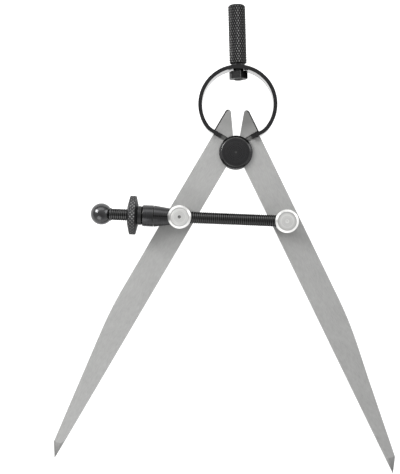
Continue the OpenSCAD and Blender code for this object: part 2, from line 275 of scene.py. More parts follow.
def worked(tree, shader, colour, marks, rough, spread, strength):
    """Bare worked metal: the marks that a tool left vary its gloss and stand out a little."""
    gloss = add(tree, "ShaderNodeMapRange", {
        "Value": marks, "From Min": 0.25, "From Max": 0.75,
        "To Min": rough - 0.05, "To Max": rough + spread}).outputs[0]
    bump = add(tree, "ShaderNodeBump", {
        "Strength": strength, "Distance": MARK_DEPTH * MM, "Height": marks}).outputs[0]
    tree.links.new(colour, shader.inputs["Base Color"])
    tree.links.new(gloss, shader.inputs["Roughness"])
    tree.links.new(bump, shader.inputs["Normal"])
    shader.inputs["Metallic"].default_value = 1.0


def ground_steel(name, turn, dark, light, settings, end, reach, share):
    """Bare tool steel, surface ground along the leg.
    Fine lines run with the leg, the gloss is satin, soft clouds of grey lie under them, and the
    tone of one end takes its share over a reach (from, to): a darker grey by the spring, painted
    shade at a point."""
    material, tree, shader = shaded(name)
    place = add(tree, "ShaderNodeTexCoord").outputs["Object"]
    lines = add(tree, "ShaderNodeMapping", {
        "Vector": place,
        "Rotation": (0, 0, turn),
        "Scale": (settings.grind_width, settings.grind_length, settings.grind_width),
    }, vector_type="TEXTURE").outputs[0]
    grain = add(tree, "ShaderNodeTexNoise", {
        "Vector": lines, "Scale": 1.0, "Detail": 4.0, "Roughness": 0.65}).outputs[0]
    clouds = add(tree, "ShaderNodeTexNoise", {
        "Vector": place, "Scale": 1 / settings.cloud_size, "Detail": 3.0}).outputs[0]
    along = add(tree, "ShaderNodeSeparateXYZ", {0: lines}).outputs["Y"]
    taken = add(tree, "ShaderNodeMapRange", {
        "Value": along, "From Min": reach[0] * MM / settings.grind_length,
        "From Max": reach[1] * MM / settings.grind_length, "To Max": share}).outputs[0]
    colour = add(tree, "ShaderNodeMix", {
        0: taken, 6: toned(tree, grain, clouds, dark, light, share=0.8), 7: end},
        data_type="RGBA").outputs[2]
    worked(tree, shader, colour, grain, settings.rough, spread=0.07, strength=0.12)
    return material


def shaded_tongue_steel(name, turn, settings):
    """Ends of the spring strip, ground to fit the slots, in an even darker grey: painted shade in
    the slots.
    """
    return ground_steel(name, turn, settings.tongue, settings.spring_end_tone, settings,
                        settings.tongue, SPRING_END_REACH, 0.0)


def dark_top_edge(name, settings):
    """A dark, matt edge by the spring end of a leg, with no metal shine."""
    material, tree, shader = shaded(name)
    flakes = add(tree, "ShaderNodeTexNoise", {
        "Vector": add(tree, "ShaderNodeTexCoord").outputs["Object"],
        "Scale": 1 / (0.8 * MM), "Detail": 3.0}).outputs[0]
    gloss = add(tree, "ShaderNodeMapRange", {
        "Value": flakes, "From Min": 0.25, "From Max": 0.75,
        "To Min": 0.7, "To Max": 0.95}).outputs[0]
    tree.links.new(gloss, shader.inputs["Roughness"])
    shader.inputs["Base Color"].default_value = settings.top_edge_tone
    shader.inputs["Specular IOR Level"].default_value = 0.25
    return material


def turned_steel(name, place, settings, family, rough, mottle, pitch=None, rim=1.0, crest=None,
                 valley_shade=None, ring_share=0.5):
    """Steel turned in a lathe, bright or blacked, in a family's two tones.
    Fine rings run round the piece's own axis, and the tone drifts slowly over it."""
    material, tree, shader = shaded(name)
    dark, light = (getattr(settings, family + end) for end in ("_dark", "_light"))
    here = add(tree, "ShaderNodeTexCoord").outputs["Object"]
    local = add(tree, "ShaderNodeMapping", {
        "Vector": here, "Location": place.to_translation(), "Rotation": place.to_euler(),
    }, vector_type="TEXTURE").outputs[0]
    across = add(tree, "ShaderNodeVectorMath", {0: local, 1: (1, 1, 0)}, operation="MULTIPLY")
    radius = add(tree, "ShaderNodeVectorMath", {0: across.outputs[0]}, operation="LENGTH")
    height = add(tree, "ShaderNodeSeparateXYZ", {0: local}).outputs["Z"]
    along = add(tree, "ShaderNodeMath", {
        0: radius.outputs["Value"], 1: height}, operation="ADD").outputs[0]
    rings = add(tree, "ShaderNodeTexNoise", {
        "W": along, "Scale": 1 / (pitch or settings.turning_pitch), "Detail": 2.0},
        noise_dimensions="1D").outputs[0]
    clouds = add(tree, "ShaderNodeTexNoise", {
        "Vector": here, "Scale": 1 / mottle, "Detail": 4.0, "Roughness": 0.6}).outputs[0]
    colour = toned(tree, rings, clouds, dark, light, ring_share)
    # Knurl and thread crests take the crest tone, partly rubbed wear and partly painted highlight;
    # the valleys take the valley tone, painted shade
    if crest:
        level = add(tree, "ShaderNodeAttribute", attribute_name="crest").outputs["Fac"]
        for end, tint in ((1.0, crest), (-1.0, valley_shade)):
            share = add(tree, "ShaderNodeMapRange", {
                "Value": level, "From Min": 0.1 * end, "From Max": 0.7 * end}).outputs[0]
            colour = add(tree, "ShaderNodeMix", {
                0: share, 6: colour, 7: tint}, data_type="RGBA").outputs[2]
    worked(tree, shader, colour, rings, rough, spread=0.06, strength=0.15)
    shader.inputs["Specular Tint"].default_value = (rim, rim, rim, 1)
    return material


def bright_turned_steel(name, place, settings):
    """Bright drawn steel, faced and turned: pale, with a satin ring pattern."""
    return turned_steel(name, place, settings, "bright", settings.bright_rough, mottle=3 * MM,
                        pitch=settings.facing_pitch)


def faced_steel(name, place, settings):
    """Front of a post, faced in the lathe: pale, with clear rings round its middle."""
    return turned_steel(name, place, settings, "faced", settings.bright_rough, mottle=3 * MM,
                        pitch=settings.facing_pitch, ring_share=0.85)


def plain_turned_steel(name, place, settings):
    """Sides of the posts and the washers, left as turned: a middle grey with fine rings."""
    return turned_steel(name, place, settings, "plain", settings.bright_rough, mottle=3 * MM)


def shaded_centre_steel(name, place, settings):
    """A drilled centre, rough from the tool, in dark tones: painted shade in the hollow."""
    return turned_steel(name, place, settings, "dull", rough=0.5, mottle=0.6 * MM)


def black_oxide_steel(name, place, settings, crest=None, rough=None, rim=1.0, valley_shade=None):
    """Turned steel in a black oxide bath: near black, low sheen, faintly mottled."""
    return turned_steel(name, place, settings, "black", rough or settings.black_rough,
                        mottle=2 * MM, rim=rim, crest=crest, valley_shade=valley_shade or settings.valley_shade)


def shaded_black_oxide(name, place, settings):
    """Black oxide on the nut inside the bow, toned a deeper black as painted shade, and matt."""
    return turned_steel(name, place, settings, "heavy", settings.cut_rough, mottle=2 * MM)


def polished_black_steel(name, place, settings):
    """The ball, polished before it was blacked: smooth, with a sharp highlight."""
    return turned_steel(name, place, settings, "polished", settings.polished_rough, mottle=2 * MM)


def blued_spring_steel(name, place, settings):
    """Spring strip, polished and blued black: a smooth shine in long soft bands."""
    return turned_steel(name, place, settings, "black", rough=0.16, mottle=4 * MM,
                        pitch=1.2 * MM)


def wear_and_highlight_edge(name, place, settings):
    """Rounded edges as a thin grey line: partly wear through the black, partly a painted highlight.
    """
    return turned_steel(name, place, settings, "worn", settings.black_rough, mottle=0.8 * MM)


# Meshes

def frame_of(origin, x, y, z):
    """Matrix that puts local X, Y and Z along the given directions at a point."""
    columns = Matrix((x, y, z)).transposed().to_4x4()
    return Matrix.Translation(origin) @ columns


def heading(angle):
    """Unit vector at an angle in the plane of the legs, in degrees."""
    turn = math.radians(angle)
    return Vector((math.cos(turn), math.sin(turn)))


FULCRUM = Matrix.Identity(4)
POST_AT = {side: Matrix.Translation((p.x, p.y, 0)) for side, p in POST.items()}
SCREW = frame_of((POST["left"].x, POST["left"].y, SCREW_Z), (0, 0, 1), (0, 1, 0), (-1, 0, 0))
LEAN = Vector(GRIP["axis"]).normalized()
HANDLE = frame_of(Vector(GRIP["pos_m"]) - GRIP_MIDDLE * MM * LEAN,
                  (LEAN.y, -LEAN.x, 0), (0, 0, -1), LEAN)


def smoothed(mesh, sharp):
    """Shades a mesh smooth up to an angle."""
    mesh.shade_smooth()
    mesh.set_sharp_from_angle(angle=math.radians(sharp))


def finished(name, mesh_data, materials, sharp=SMOOTH):
    """A new object from a bmesh, shaded smooth up to an angle."""
    bmesh.ops.recalc_face_normals(mesh_data, faces=mesh_data.faces)
    if mesh_data.calc_volume(signed=True) < 0:
        bmesh.ops.reverse_faces(mesh_data, faces=mesh_data.faces)
    mesh = bpy.data.meshes.new(name)
    mesh_data.to_mesh(mesh)
    mesh_data.free()
    for material in materials:
        mesh.materials.append(material)
    smoothed(mesh, sharp)
    piece = bpy.data.objects.new(name, mesh)
    bpy.context.scene.collection.objects.link(piece)
    return piece


def eased(profile, radius, closed=False, steps=3):
    """A profile of (r, h) points with its corners rounded; a mark says an edge comes next."""
    count = len(profile)
    out = []
    for i, (r, h) in enumerate(profile):
        here = Vector((r, h))
        last, after = Vector(profile[i - 1]), Vector(profile[(i + 1) % count])
        ends = not closed and i in (0, count - 1)
        back, on = last - here, after - here
        if ends or back.angle(on, math.pi) > math.radians(STRAIGHT):
            out.append((r, h, 0))
            continue
        cut = min(radius, EASE_SHARE * back.length, EASE_SHARE * on.length)
        a, b = here + cut * back.normalized(), here + cut * on.normalized()
        for k in range(steps + 1):
            t = k / steps
            p = (1 - t) ** 2 * a + 2 * t * (1 - t) * here + t * t * b
            out.append((p.x, p.y, int(k < steps)))
    return out


def turned(rings, place, segments=ROUND, closed=False):
    """Skins rings (r, h, mark) or knurled rings (r, h, mark, groove, phase), in millimetres.
    A ring with no radius is one point on the axis."""
    bm = bmesh.new()
    crest = bm.verts.layers.float.new("crest")
    loops = []
    for r, h, mark, *knurl in rings:
        groove, phase = knurl or (0, 0)
        if r < WELD:
            loops.append(([bm.verts.new(place @ Vector((0, 0, h * MM)))], mark, groove))
            continue
        loop = []
        for m in range(segments):
            a = 2 * math.pi * m / segments
            peak = (m + phase) % 2
            reach = (r - groove * (1 - peak)) * MM
            loop.append(bm.verts.new(
                place @ Vector((reach * math.cos(a), reach * math.sin(a), h * MM))))
            loop[-1][crest] = float(2 * peak - 1) if groove else 0.0
        loops.append((loop, mark, groove))
    pairs = list(zip(loops, loops[1:] + loops[:1] if closed else loops[1:]))
    for (low, slot, low_groove), (high, _, high_groove) in pairs:
        for m in range(segments):
            n = (m + 1) % segments
            spots = [low[m % len(low)], low[n % len(low)], high[n % len(high)], high[m % len(high)]]
            corners = list(dict.fromkeys(spots))
            if len(corners) < 3:
                break
            faces = [corners]
            if len(corners) == 4 and (low_groove or high_groove):
                # A knurl cell is cut into two triangles along its deeper diagonal
                a, b, c, d = corners
                deeper = a[crest] + c[crest] < b[crest] + d[crest]
                faces = [(a, b, c), (a, c, d)] if deeper else [(b, c, d), (b, d, a)]
            for face in faces:
                bm.faces.new(face).material_index = slot
    return bm


def carved(piece, cutter, operation="DIFFERENCE", sharp=SMOOTH):
    """Cuts one closed mesh with another, which is then thrown away."""
    tool = piece.modifiers.new("carve", "BOOLEAN")
    tool.operation = operation
    tool.solver = "EXACT"
    tool.object = cutter
    bpy.context.view_layer.update()
    result = bpy.data.meshes.new_from_object(
        piece.evaluated_get(bpy.context.evaluated_depsgraph_get()))
    piece.modifiers.remove(tool)
    spent = (piece.data, cutter.data)
    piece.data = result
    bpy.data.objects.remove(cutter)
    for mesh in spent:
        bpy.data.meshes.remove(mesh)
    if not result.polygons:
        raise RuntimeError("nothing was left of " + piece.name)
    smoothed(result, sharp)


def rod_cutter(place, low, high, low_r, high_r):
    """A plain coned rod that serves as a drill."""
    return finished("cutter", turned(
        [(0, low, 0), (low_r, low, 0), (high_r, high, 0), (0, high, 0)], place), [])


def block_cutter(place, low, high):
    """A block between two local corners, in millimetres."""
    bm = bmesh.new()
    bmesh.ops.create_cube(bm, size=1.0)
    span = Vector(high) - Vector(low)
    middle = (Vector(high) + Vector(low)) / 2
    for v in bm.verts:
        v.co = place @ ((Vector(a * b for a, b in zip(v.co, span)) + middle) * MM)
    return finished("cutter", bm, [])


def edged(node, name, materials, *breaks):
    """A copy of a solid with flat faces joined; each break is (wanted edges, width, slot)."""
    bm = bmesh.new()
    bm.from_mesh(frame["nodes"][node].data)
    for face in bm.faces:
        face.material_index = 0
    bmesh.ops.remove_doubles(bm, verts=bm.verts, dist=WELD * MM)
    bmesh.ops.dissolve_limit(bm, angle_limit=math.radians(FLAT), verts=bm.verts, edges=bm.edges,
                             use_dissolve_boundaries=False)
    for wanted, width, slot in breaks:
        edges = [e for e in bm.edges
                 if e.is_manifold and e.calc_face_angle() > math.radians(CORNER) and wanted(e)]
        bmesh.ops.bevel(bm, geom=edges, offset=width, offset_type="OFFSET", segments=2,
                        profile=0.5, affect="EDGES", clamp_overlap=False, material=slot)
    bmesh.ops.triangulate(bm, faces=[f for f in bm.faces if len(f.verts) > 4])
    bmesh.ops.dissolve_degenerate(bm, dist=SLIVER * MM, edges=bm.edges)
    return finished(name, bm, materials, FACET_SMOOTH)


# Settings

def tone(name, description, code):
    """A colour with an sRGB hex default."""
    return FloatVectorProperty(name=name, description=description, default=linear(code),
                               subtype="COLOR", size=4)


def shade(end, steel, code):
    """The darker or the lighter tone of a steel."""
    return tone(steel.capitalize() + ", " + end, end.capitalize() + " tone of the " + steel, code)


def length(name, description, size):
    """A length with a default in millimetres."""
    return FloatProperty(name=name, description=description, default=size * MM, unit="LENGTH")


def share(name, description, default, least=0.0, most=1.0):
    """A share between two bounds."""
    return FloatProperty(name=name, description=description, default=default,
                         subtype="FACTOR", min=least, max=most)


def strength(name, description, default, subtype="NONE"):
    """Strength of a light."""
    return FloatProperty(name=name, description=description, default=default, subtype=subtype)


class LegSettings(PropertyGroup):
    """Finish of the two ground legs."""

    steel_dark: shade("darker", "ground steel", "9e9e9d")
    steel_light: shade("lighter", "ground steel", "b2b2b1")
    rough: share("Roughness", "Roughness of the ground faces", 0.62, 0.1, 0.9)
    grind_width: length("Grind width", "Width of a grinding line, coarse enough to show", 0.4)
    grind_length: length("Grind length", "Length of a grinding line", 2)
    cloud_size: length("Cloud size", "Size of the soft grey clouds", 9)
    edge: length("Edge", "Width of the broken edges", 0.2)
    seat_edge: length("Slot edge", "Width of the broken edges round the spring's slot", 0.05)
    # Tone of the dark, matt top edges by the spring
    top_edge_tone: tone("Scale", "Tone of the forge scale left by the spring", "262625")
    # The tongue's darker grey is painted shade in the slots
    tongue: tone("Tongue", "Tone of the spring's tongue", "696968")
    top_edge: length("Top edge", "Width of the scaled edges by the spring", 0.55)
    # A darker grey towards the spring end, more of it on the right leg
    spring_end_tone: tone("Heat tint", "Tone of the steel darkened by heat at the spring end", "7e7e7d")
    left_spring_end_dark: share("Left heat tint", "Share of the darker grey at the left spring end", 0.6)
    right_spring_end_dark: share("Right heat tint", "Share of the darker grey at the right spring end", 1.0)
    # Painted shade on the point's tilted facets, darkening to the very end
    point_shade_dark: shade("darker", "hardened point", "8e8e8d")
    point_shade_tip: tone("Point, end", "Tone at the very end of the point", "5c5c5b")
    point_shade_light: shade("lighter", "hardened point", "b0b0af")


class TurnedSettings(PropertyGroup):
    """Finish of the turned, knurled and threaded parts."""

    black_dark: shade("darker", "black oxide", "3a3a3b")
    black_light: shade("lighter", "black oxide", "434344")
    # Deeper black on the handle nut: painted shade
    heavy_dark: shade("darker", "unrubbed black on the nut", "1e1e1e")
    heavy_light: shade("lighter", "unrubbed black on the nut", "2a2a2a")
    # Edge line tones, partly wear and partly painted highlight; the darker one also tints the
    # screw's thread crests
    worn_dark: shade("darker", "worn edges", "4a4a4a")
    worn_light: shade("lighter", "worn edges", "5e5e5d")
    polished_dark: shade("darker", "polished ball", "474748")
    polished_light: shade("lighter", "polished ball", "505051")
    # Dark tones in the left post's drilled centre: painted shade
    dull_dark: shade("darker", "drilled centre", "5e5e5d")
    dull_light: shade("lighter", "drilled centre", "727270")
    # Knurl crest tones are partly rubbed wear, partly painted highlight; the valley tone is painted
    # shade
    crest: tone("Crests", "Rubbed tone on the handle's knurl peaks", "727270")
    wheel_crest: tone("Wheel crests", "Rubbed tone on the thumb nut's knurl peaks", "8e8e8c")
    valley_shade: tone("Valleys", "Tone deep in knurls and threads", "242424")
    bright_dark: shade("darker", "bright steel", "dededc")
    bright_light: shade("lighter", "bright steel", "fafaf8")
    plain_dark: shade("darker", "posts' turned sides", "9a9a99")
    plain_light: shade("lighter", "posts' turned sides", "bababa")
    faced_dark: shade("darker", "posts' faced fronts", "ccccca")
    faced_light: shade("lighter", "posts' faced fronts", "fafaf8")
    black_rough: share("Black roughness", "Roughness of the black oxide", 0.27, 0.1, 0.9)
    cut_rim: share("Cut rim", "Grazing gloss left on the handle's knurl", 0.2)
    wheel_rim: share("Wheel rim", "Grazing gloss left on the thumb nut's knurl", 0.6)
    cut_rough: share("Cut roughness", "Roughness of the knurled surfaces", 0.45, 0.1, 0.9)
    polished_rough: share("Polished roughness", "Roughness of the polished ball", 0.18, 0.05, 0.9)
    bright_rough: share("Bright roughness", "Roughness of the bright steel", 0.34, 0.1, 0.9)
    turning_pitch: length(
        "Turning pitch", "Spacing of the turning marks, coarse enough to show", 0.35)
    facing_pitch: length(
        "Facing pitch", "Spacing of the rings on the post faces, coarse to show", 0.9)
    edge: length("Edge", "Rounding of the turned edges", 0.15)
    grip_knurls: IntProperty(
        name="Grip knurls", description="Diamonds round the handle", default=20, min=12, max=60)
    wheel_knurls: IntProperty(
        name="Wheel knurls", description="Diamonds round the thumb nut", default=32, min=20, max=90)
    knurl_depth: length("Knurl depth", "Depth of the knurl valleys", 0.28)
    thread_pitch: length("Thread pitch", "Pitch of the adjusting screw", 0.8)
    thread_depth: length("Thread depth", "Depth of the thread", 0.2)


class StageSettings(PropertyGroup):
    """Floor and light."""

    floor_colour: tone("Floor", "Colour of the opal table top", "8c8c8c")
    floor_light: tone("Floor light", "Colour of the light under the table top", "ffffff")
    floor_glow: strength("Floor glow", "Light under the table top, lower right", 0.98)
    floor_far_glow: strength("Far floor glow", "Light under the table top, upper left", 1.25)
    sky: strength("Sky", "Strength of the brightest belt of the sky", 1.2)
    sky_sides: strength("Sky sides", "How much dimmer the sky is to the left and right", 0.5)
    sky_front: strength("Sky front", "How much brighter the horizon is beyond the points", 0.5)
    sky_back: strength("Sky back", "How much brighter the upper sky is beyond the handle", 0.8)
    left_box: strength("Left softbox", "Power of the softbox at the upper left", 5.5, "POWER")
    low_box: strength("Low softbox", "Power of the softbox at the lower left", 0.35, "POWER")
    rear_box: strength("Rear softbox", "Power of the softbox beyond the handle", 1.4, "POWER")
    right_box: strength("Right softbox", "Power of the softbox at the right", 1.8, "POWER")


# Pieces

class DIVIDER_OT_legs(Operator):
    """Ground steel legs with broken edges"""

    bl_idname = "divider.legs"
    bl_label = "Legs"

    def execute(self, context):
        settings = context.scene.divider_legs
        for side, name in ((-1, "left_leg"), (1, "right_leg")):
            turn = math.radians(side * LEG_ANGLE)
            down = heading(side * LEG_ANGLE - 90)
            hole = POST[name[:-4]].to_2d()

            def broken(edge, level, high, low=-LEG_REACH):
                spots = [v.co for v in edge.verts]
                return all(abs(p.z - level) < LEVEL_ROOM * MM
                           and p.to_2d().length > NOTCH_ROOM * MM
                           and (p.to_2d() - hole).length > HOLE_ROOM * MM
                           and low < p.to_2d().dot(down) / MM < high for p in spots)

            def top(edge):
                one, two = (v.co.to_2d() for v in edge.verts)
                out = (one + two).x * side > abs((one + two).y) * TOP_OUT
                lengthwise = abs((one - two).normalized().dot(down)) > TOP_ALONG[side]
                return out and lengthwise and broken(edge, LEG_FRONT, DARK_EDGE_TO)

            def seat(edge):
                return broken(edge, LEG_FRONT, SLOT_TO, SLOT_FROM)

            def rest(edge):
                return broken(edge, LEG_FRONT, EDGES_TO) or broken(edge, LEG_BACK, EDGES_TO)

            # Each leg's grey darkens towards the spring end by its own share
            darkening = settings.left_spring_end_dark if side < 0 else settings.right_spring_end_dark
            steel = ground_steel("ground_tool_steel_" + name, turn, settings.steel_dark,
                                 settings.steel_light, settings, settings.spring_end_tone,
                                 SPRING_END_REACH, darkening)
            # Painted shade for the point's tilted facets
            point = ground_steel("hardened_point_steel_" + name, turn, settings.point_shade_dark,
                                 settings.point_shade_light, settings, settings.point_shade_tip,
                                 POINT_SHADE_REACH, POINT_SHADE_SHARE)
            # The dark, matt edges at the leg tops
            scale = dark_top_edge("forge_scale_" + name, settings)
            leg = edged(name, name + "_ground", [steel, point, scale],
                        (top, settings.top_edge, 2), (seat, settings.seat_edge, 0),
                        (rest, settings.edge, 0))
            # Faces near the point that tilt between these bounds take the painted shade
            for face in leg.data.polygons:
                if face.center.to_2d().dot(down) / MM > POINT_FROM:
                    face.material_index = int(POINT_SHADE_TILT[0] < abs(face.normal.z) < POINT_SHADE_TILT[1])
            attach(leg, name)
            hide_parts(name)
        return {"FINISHED"}


class DIVIDER_OT_fulcrum(Operator):
    """Black fulcrum stud and its rear flange"""

    bl_idname = "divider.fulcrum"
    bl_label = "Fulcrum"

    def execute(self, context):
        settings = context.scene.divider_turned
        black = black_oxide_steel("black_oxide_steel_fulcrum", FULCRUM, settings)
        worn = wear_and_highlight_edge("worn_black_oxide_fulcrum", FULCRUM, settings)
        edge = settings.edge / MM
        stud = STUD_BACK + [(r, STACK_H / MM + h) for r, h in STUD_FRONT]
        for name, profile, closed in (("fulcrum_stud", stud, False),
                                      ("fulcrum_rear_flange", REAR_FLANGE, True)):
            rings = eased(profile, edge, closed)
            piece = finished(name + "_black", turned(rings, FULCRUM, closed=closed), [black, worn])
            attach(piece, "bow")
            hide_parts(name)
        return {"FINISHED"}


class DIVIDER_OT_bow_spring(Operator):
    """Bow spring, in two halves"""

    bl_idname = "divider.bow_spring"
    bl_label = "Bow spring"

    def stations(self):
        """Middle line of the right half from the crown to the tongue, in millimetres."""
        side = heading(LEG_ANGLE)
        up = heading(LEG_ANGLE + 90)
        drop, lead = (BOW_R - BEND_R) * heading(BEND_TURN)
        rise = (SLOT_RISE + BEND_R + drop) / side.x
        bend = (rise * side.y + lead) * side + (SLOT_RISE + BEND_R) * up
        first, last = 90.0, BEND_TURN + LEG_ANGLE - 90
        line = []
        for i in range(BOW_STEPS + 1):
            normal = heading(first + (last - first) * i / BOW_STEPS)
            line.append((Vector((0, rise)) + BOW_R * normal, normal))
        for i in range(1, BEND_STEPS + 1):
            normal = heading(last - BEND_TURN * i / BEND_STEPS)
            line.append((bend + BEND_R * normal, normal))
        seat = STRIP_IN * side + SLOT_RISE * up
        line.append((seat, -up))
        return line, (TONGUE_IN - STRIP_IN) * side

    def half(self, sign):
        """Closed mesh of one half of the strip."""
        line, tongue = self.stations()
        top = STACK_H / MM
        front = LEG_FRONT / MM - TONGUE_INSET
        back = LEG_BACK / MM + TONGUE_INSET
        bm = bmesh.new()
        rows = []

        def loop(middle, normal, low, high, t=STRIP_T / 2):
            cut = STRIP_EDGE
            corners = [(t, low + cut), (t, high - cut), (t - cut, high), (cut - t, high),
                       (-t, high - cut), (-t, low + cut), (cut - t, low), (t - cut, low)]
            spots = [(middle + n * normal, z) for n, z in corners]
            rows.append([bm.verts.new((sign * p.x * MM, p.y * MM, z * MM)) for p, z in spots])

        for middle, normal in line:
            loop(middle, normal, 0, top)
        end, normal = line[-1]
        loop(end, normal, back, front, STRIP_T / 2 - TONGUE_THIN)
        loop(end + tongue, normal, back, front, STRIP_T / 2 - TONGUE_THIN)
        for low, high in zip(rows, rows[1:]):
            for i in range(len(low)):
                j = (i + 1) % len(low)
                bm.faces.new((low[i], low[j], high[j], high[i]))
        bm.faces.new(rows[0])
        bm.faces.new(rows[-1])
        for face in bm.faces:
            # Faces of the tongue take the darker grey, painted shade in the slots
            face.material_index = int(all(v in rows[-1] or v in rows[-2] for v in face.verts))
        return bm

    def execute(self, context):
        settings = context.scene.divider_turned
        strip = blued_spring_steel("blued_spring_steel_strip", FULCRUM, settings)
        legs = context.scene.divider_legs
        for sign, side in ((-1, "left"), (1, "right")):
            # Darker grey for the tongue, painted shade in its slot
            shaded_tongue = shaded_tongue_steel("ground_spring_steel_" + side,
                                       math.radians(sign * LEG_ANGLE), legs)
            piece = finished("bow_spring_" + side, self.half(sign), [strip, shaded_tongue])
            carved(piece, rod_cutter(HANDLE, -STUD_DRILL, STUD_DRILL, STUD_HOLE_R, STUD_HOLE_R))
            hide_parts("bow_spring")
            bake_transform(piece)
        return {"FINISHED"}


class DIVIDER_OT_handle(Operator):
    """Diamond knurled handle and its nut"""

    bl_idname = "divider.handle"
    bl_label = "Handle"

    def execute(self, context):
        settings = context.scene.divider_turned
        # Knurl crests lighter and valleys darker: partly rubbed wear, partly painted highlight and
        # shade
        black = black_oxide_steel("black_oxide_steel_handle", HANDLE, settings, settings.crest,
                                  settings.cut_rough, settings.cut_rim)
        worn = wear_and_highlight_edge("worn_black_oxide_handle", HANDLE, settings)
        edge = settings.edge / MM
        depth = settings.knurl_depth / MM
        around = settings.grip_knurls
        reach = KNURL_TO - KNURL_FROM
        pitch = 2 * math.pi * GRIP_R / around
        rows = 2 * round(reach * math.tan(math.radians(KNURL_LEAD)) / pitch)
        knurl = [(GRIP_R, KNURL_FROM + reach * k / rows, 0, depth, k) for k in range(rows + 1)]
        rings = eased(HANDLE_STUD + GRIP_FOOT, edge) + knurl + eased(GRIP_CAP, 2 * edge)
        grip = finished("handle_knurled", turned(rings, HANDLE, 2 * around), [black, worn],
                        KNURL_SMOOTH)
        # The handle nut in a deeper black, painted shade
        heavy = shaded_black_oxide("heavy_black_oxide_handle_nut", HANDLE, settings)
        nut = edged("handle_nut", "handle_nut_black", [heavy, worn],
                    (lambda e: True, NUT_EDGE * MM, 1))
        for piece, node in ((grip, "handle"), (nut, "handle_nut")):
            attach(piece, "bow")
            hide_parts(node)
        return {"FINISHED"}


class DIVIDER_OT_posts(Operator):
    """Bright swivel posts and their washers"""

    bl_idname = "divider.posts"
    bl_label = "Posts"

    def execute(self, context):
        settings = context.scene.divider_turned
        edge = settings.edge / MM
        bright_slot, centre_shade_slot, faced_slot, plain_slot = range(4)
        # The left post's drilled centre takes the painted shade
        centre_slot = {"left": centre_shade_slot, "right": faced_slot}
        for side in ("left", "right"):
            place = POST_AT[side]
            bright = bright_turned_steel("bright_turned_steel_" + side, place, settings)
            faced = faced_steel("faced_steel_" + side, place, settings)
            plain = plain_turned_steel("plain_turned_steel_" + side, place, settings)
            dull = shaded_centre_steel("dull_turned_steel_" + side, place, settings)
            rings = [(r, h, plain_slot) for r, h, _ in eased(POST_SIDE, edge / 2)[:-1]]
            face = zip(POST_FACE_R, (0, 0, GROOVE_DEEP[side], 0))
            rings.append((*POST_SIDE[-1], bright_slot))
            rings += [(r, POST_TOP - deep, faced_slot) for r, deep in face]
            rings += [(r, POST_TOP - deep, centre_slot[side]) for r, deep in POST_CENTRE[side]]
            post = finished(side + "_post_turned", turned(rings, place),
                            [bright, dull, faced, plain], FACET_SMOOTH)
            if side == "left":
                drills = [(-BORE_REACH, BORE_REACH, SLIDE_R, SLIDE_R),
                          (SEAT_AT, BORE_REACH, SEAT_R,
                           SEAT_R + (BORE_REACH - SEAT_AT) * SEAT_SLOPE)]
            else:
                away = (POST["right"].x - POST["left"].x) / MM
                drills = [(-away - BLIND_END, BORE_REACH - away, FIT_R, FIT_R)]
            for drill in drills:
                carved(post, rod_cutter(SCREW, *drill), sharp=FACET_SMOOTH)
            washer = edged(side + "_post_washer", side + "_post_washer_turned", [plain],
                           (lambda e: True, WASHER_EDGE * MM, 0))
            for piece, node in ((post, side + "_post"), (washer, side + "_post_washer")):
                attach(piece, side + "_post")
                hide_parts(node)
        return {"FINISHED"}


class DIVIDER_OT_screw(Operator):
    """Threaded adjusting screw and its ball"""

    bl_idname = "divider.screw"
    bl_label = "Adjusting screw"

    def thread(self, low, high, crest, pitch, depth, segments=THREAD_ROUND):
        """Closed mesh of a rod with a helical thread, in millimetres."""
        radii = (crest, crest, crest - depth, crest - depth)
        turns = math.ceil((high - low) / pitch) + 2
        bm = bmesh.new()
        crest_mark = bm.verts.layers.float.new("crest")
        grid = []
        for s in range(segments):
            a = -2 * math.pi * s / segments
            column = []
            for row in range(4 * turns + 1):
                h = low + pitch * (row // 4 - 1 + THREAD_SHARES[row % 4] + s / segments)
                r = radii[row % 4] * MM
                h = min(max(h, low), high)
                column.append(bm.verts.new(
                    SCREW @ Vector((r * math.cos(a), r * math.sin(a), h * MM))))
                column[-1][crest_mark] = 1.0 if row % 4 < 2 else -1.0
            grid.append(column)
        grid.append(grid[0][4:])
        for column, after in zip(grid, grid[1:]):
            for row in range(4 * turns - 4):
                face = (column[row], after[row], after[row + 1], column[row + 1])
                heights = {round((SCREW.inverted() @ v.co).z / MM, 4) for v in face}
                if heights == {round(low, 4)} or heights == {round(high, 4)}:
                    continue
                bm.faces.new(face)
        bmesh.ops.delete(bm, geom=[v for v in bm.verts if not v.link_faces], context="VERTS")
        bmesh.ops.remove_doubles(bm, verts=bm.verts, dist=WELD * MM)
        bmesh.ops.holes_fill(bm, edges=[e for e in bm.edges if e.is_boundary], sides=0)
        return bm

    def execute(self, context):
        settings = context.scene.divider_turned
        # Thread crests take the edge tone and roots the valley tone: painted highlight and shade,
        # partly wear
        black = black_oxide_steel("black_oxide_steel_screw", SCREW, settings, settings.worn_dark,
                                  rim=0.0)
        low = (POST["left"].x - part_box("adjusting_screw")[1].x) / MM
        high = (POST["left"].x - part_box("adjusting_screw")[0].x) / MM
        screw = finished("adjusting_screw_threaded", self.thread(
            low, high, SCREW_R, settings.thread_pitch / MM, settings.thread_depth / MM), [black])
        polished = polished_black_steel("polished_black_steel_ball", SCREW, settings)
        worn = wear_and_highlight_edge("worn_black_oxide_ball", SCREW, settings)
        rings = eased(BALL_BORE + COLLAR, COLLAR_EDGE)
        for k in range(BALL_STEPS + 1):
            a = math.radians(BALL_FROM - BALL_FROM * k / BALL_STEPS)
            rings.append((BALL_R * math.sin(a), BALL_AT + BALL_R * math.cos(a), 0))
        end = finished("ball_end_turned", turned(rings, SCREW, BALL_ROUND), [polished, worn])
        for piece, node in ((screw, "adjusting_screw"), (end, "ball_end")):
            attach(piece, "right_post")
            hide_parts(node)
        return {"FINISHED"}


